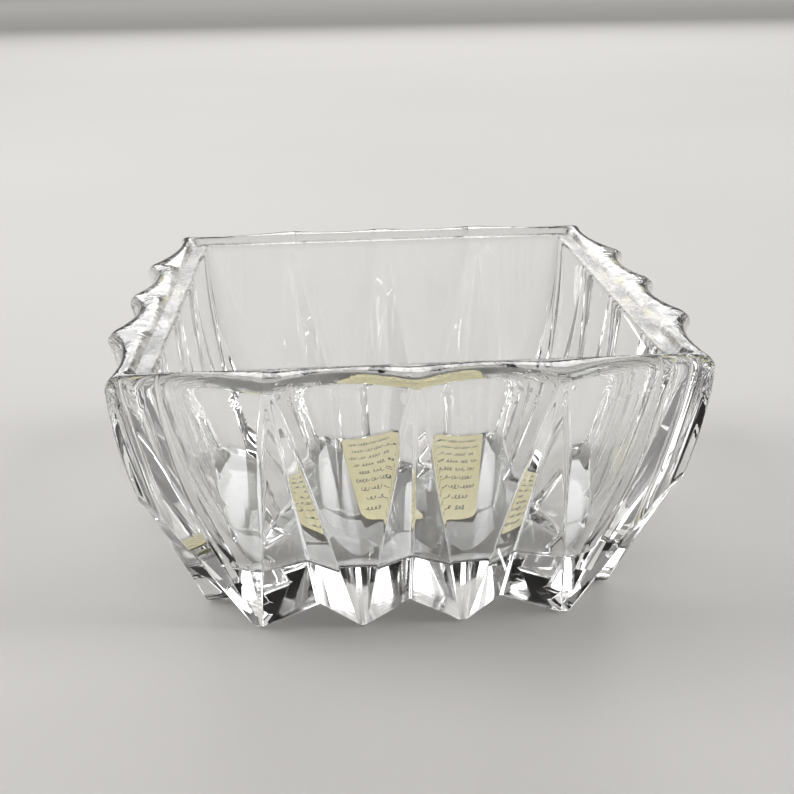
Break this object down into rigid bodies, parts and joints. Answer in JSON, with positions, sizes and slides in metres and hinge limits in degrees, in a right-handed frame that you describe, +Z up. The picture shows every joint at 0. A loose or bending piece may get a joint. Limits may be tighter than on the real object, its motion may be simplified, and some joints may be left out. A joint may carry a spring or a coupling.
{
  "type": "dappen dish",
  "caption": "Square pressed clear glass dappen dish, fluted sides on a toothed foot, with a paper label lying on the floor of its cavity.",
  "frame": {"origin": "centre of the foot, on the plane the dish stands on", "axes": "+Z up along the axis of the dish, +X and +Y square to its sides, -Y the side towards the viewer"},
  "size_m": [0.071, 0.071, 0.0361],
  "materials": {
    "clear_glass": "fire-polished pressed glass, lightly scratched on the rim",
    "aged_paper": "matt, yellowed, with pen strokes"
  },
  "bodies": {
    "root": {"glass_dish": "clear_glass", "paper_label": "aged_paper"}
  },
  "joints": []
}
